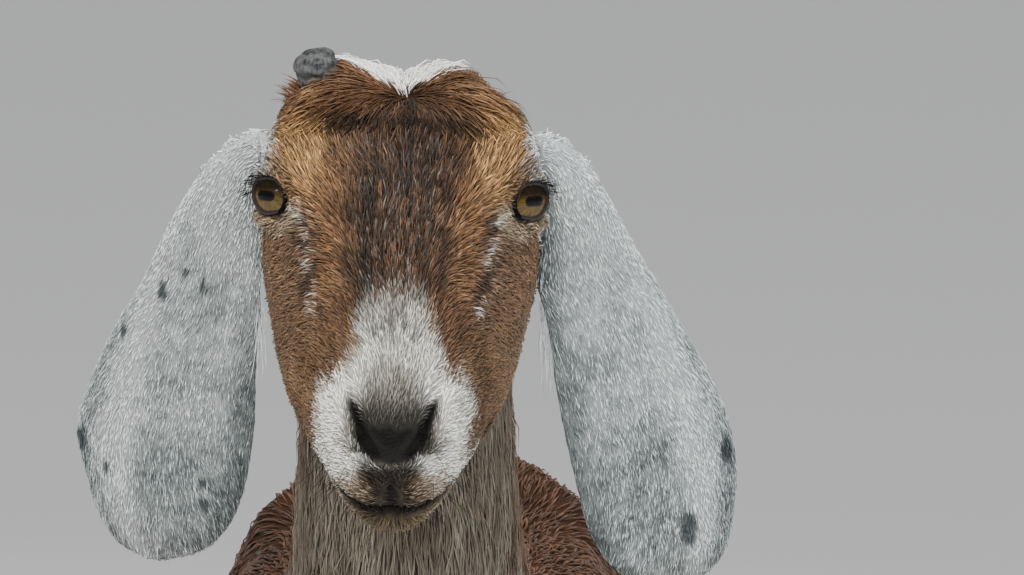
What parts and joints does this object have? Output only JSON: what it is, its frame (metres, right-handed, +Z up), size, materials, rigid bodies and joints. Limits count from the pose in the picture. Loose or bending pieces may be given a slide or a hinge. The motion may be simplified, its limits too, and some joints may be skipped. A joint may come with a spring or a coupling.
{
  "type": "nubian goat",
  "caption": "Life-size standing Nubian goat with long hanging ears, a convex nose, a horn stub and a short tail, as a still model.",
  "frame": {"origin": "on the floor, under the middle of the animal's whole length", "axes": "+Z up; the goat faces -Y; its own left side is +X"},
  "size_m": [0.3316, 1.0552, 1.0127],
  "materials": {
    "face_coat": "short flat hair, red-brown with a pale blaze",
    "ear_coat": "very short frosted grey hair",
    "neck_coat": "grey roan hair with brown streaks",
    "body_coat": "short brown hair",
    "leg_coat": "short dark brown hair",
    "horn": "rough dark horn",
    "hoof": "satin hoof horn",
    "eye": "wet and glossy"
  },
  "bodies": {
    "root": {"ear_left": "ear_coat", "ear_right": "ear_coat", "eye_left": "eye", "eye_right": "eye", "fore_dewclaw_left_inner": "hoof", "fore_dewclaw_left_outer": "hoof", "fore_dewclaw_right_inner": "hoof", "fore_dewclaw_right_outer": "hoof", "fore_hoof_left_inner": "hoof", "fore_hoof_left_outer": "hoof", "fore_hoof_right_inner": "hoof", "fore_hoof_right_outer": "hoof", "fore_leg_left_lower": "leg_coat", "fore_leg_left_upper": "body_coat", "fore_leg_right_lower": "leg_coat", "fore_leg_right_upper": "body_coat", "head": "face_coat", "hind_dewclaw_left_inner": "hoof", "hind_dewclaw_left_outer": "hoof", "hind_dewclaw_right_inner": "hoof", "hind_dewclaw_right_outer": "hoof", "hind_hoof_left_inner": "hoof", "hind_hoof_left_outer": "hoof", "hind_hoof_right_inner": "hoof", "hind_hoof_right_outer": "hoof", "hind_leg_left_lower": "leg_coat", "hind_leg_left_upper": "body_coat", "hind_leg_right_lower": "leg_coat", "hind_leg_right_upper": "body_coat", "horn_right": "horn", "neck": "neck_coat", "tail": "body_coat", "torso": "body_coat"}
  },
  "joints": []
}
